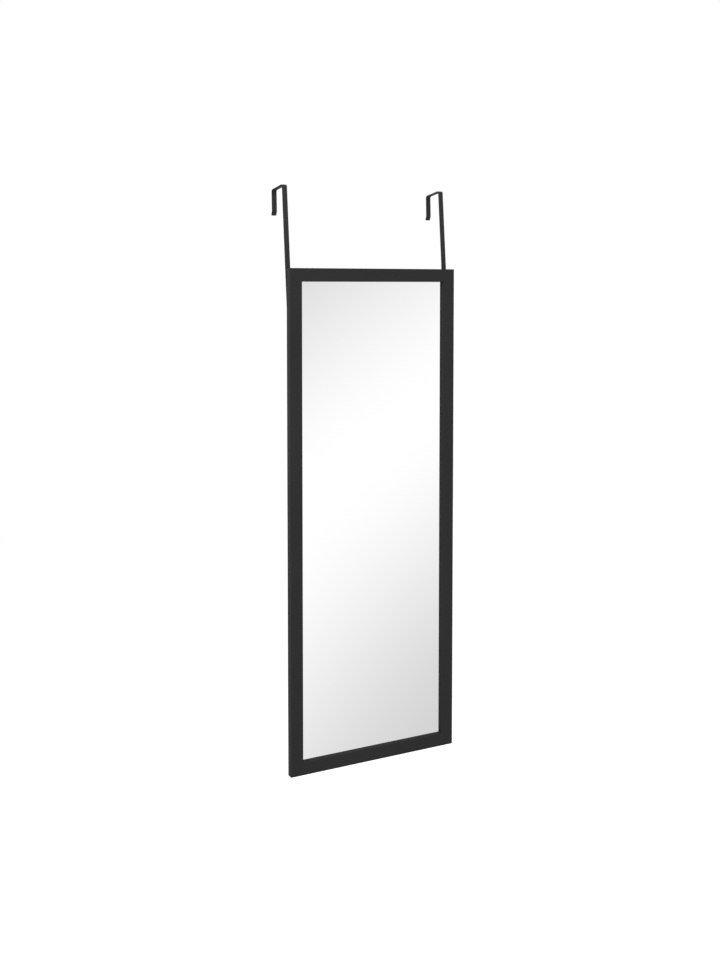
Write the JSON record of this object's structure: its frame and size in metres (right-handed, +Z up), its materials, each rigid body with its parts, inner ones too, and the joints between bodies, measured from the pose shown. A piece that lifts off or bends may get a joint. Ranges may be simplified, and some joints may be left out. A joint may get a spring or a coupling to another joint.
{
  "type": "over the door mirror",
  "caption": "Slim black framed rectangular mirror that hangs on a door by two flat strip hooks bent over its top edge.",
  "frame": {"origin": "the hang point: midway between the two hooks, under their top bars, at the middle of the door's thickness", "axes": "+Z up; the mirror faces -Y and the door is behind it, towards +Y; +X to the right as seen from the front"},
  "size_m": [0.3, 0.0739, 0.9303],
  "materials": {
    "frame_black": "matt black powder coat on extruded aluminium",
    "mirror": "clear float glass, silvered and painted on its back",
    "hardboard": "brown hardboard, smooth side out",
    "cast_key": "raw die casting",
    "zinc_steel": "bright zinc plate",
    "spring_steel": "cold rolled spring steel",
    "hook_black": "matt black powder coat on flat steel strip",
    "screw_black": "black zinc plate",
    "rubber_black": "soft black rubber"
  },
  "bodies": {
    "root": {"top_rail": "frame_black", "bottom_rail": "frame_black", "left_stile": "frame_black", "right_stile": "frame_black", "mirror_glass": "mirror", "backing_board": "hardboard", "corner_key_top_left": "cast_key", "corner_key_top_right": "cast_key", "corner_key_bottom_left": "cast_key", "corner_key_bottom_right": "cast_key", "corner_screws": "zinc_steel", "spring_clip_left_upper": "spring_steel", "spring_clip_left_middle": "spring_steel", "spring_clip_left_lower": "spring_steel", "spring_clip_right_upper": "spring_steel", "spring_clip_right_middle": "spring_steel", "spring_clip_right_lower": "spring_steel", "spring_clip_top": "spring_steel", "spring_clip_bottom": "spring_steel", "hook_left": "hook_black", "hook_right": "hook_black", "hook_screws": "screw_black", "bumper_top_left": "rubber_black", "bumper_top_right": "rubber_black", "bumper_bottom_left": "rubber_black", "bumper_bottom_right": "rubber_black"}
  },
  "joints": []
}
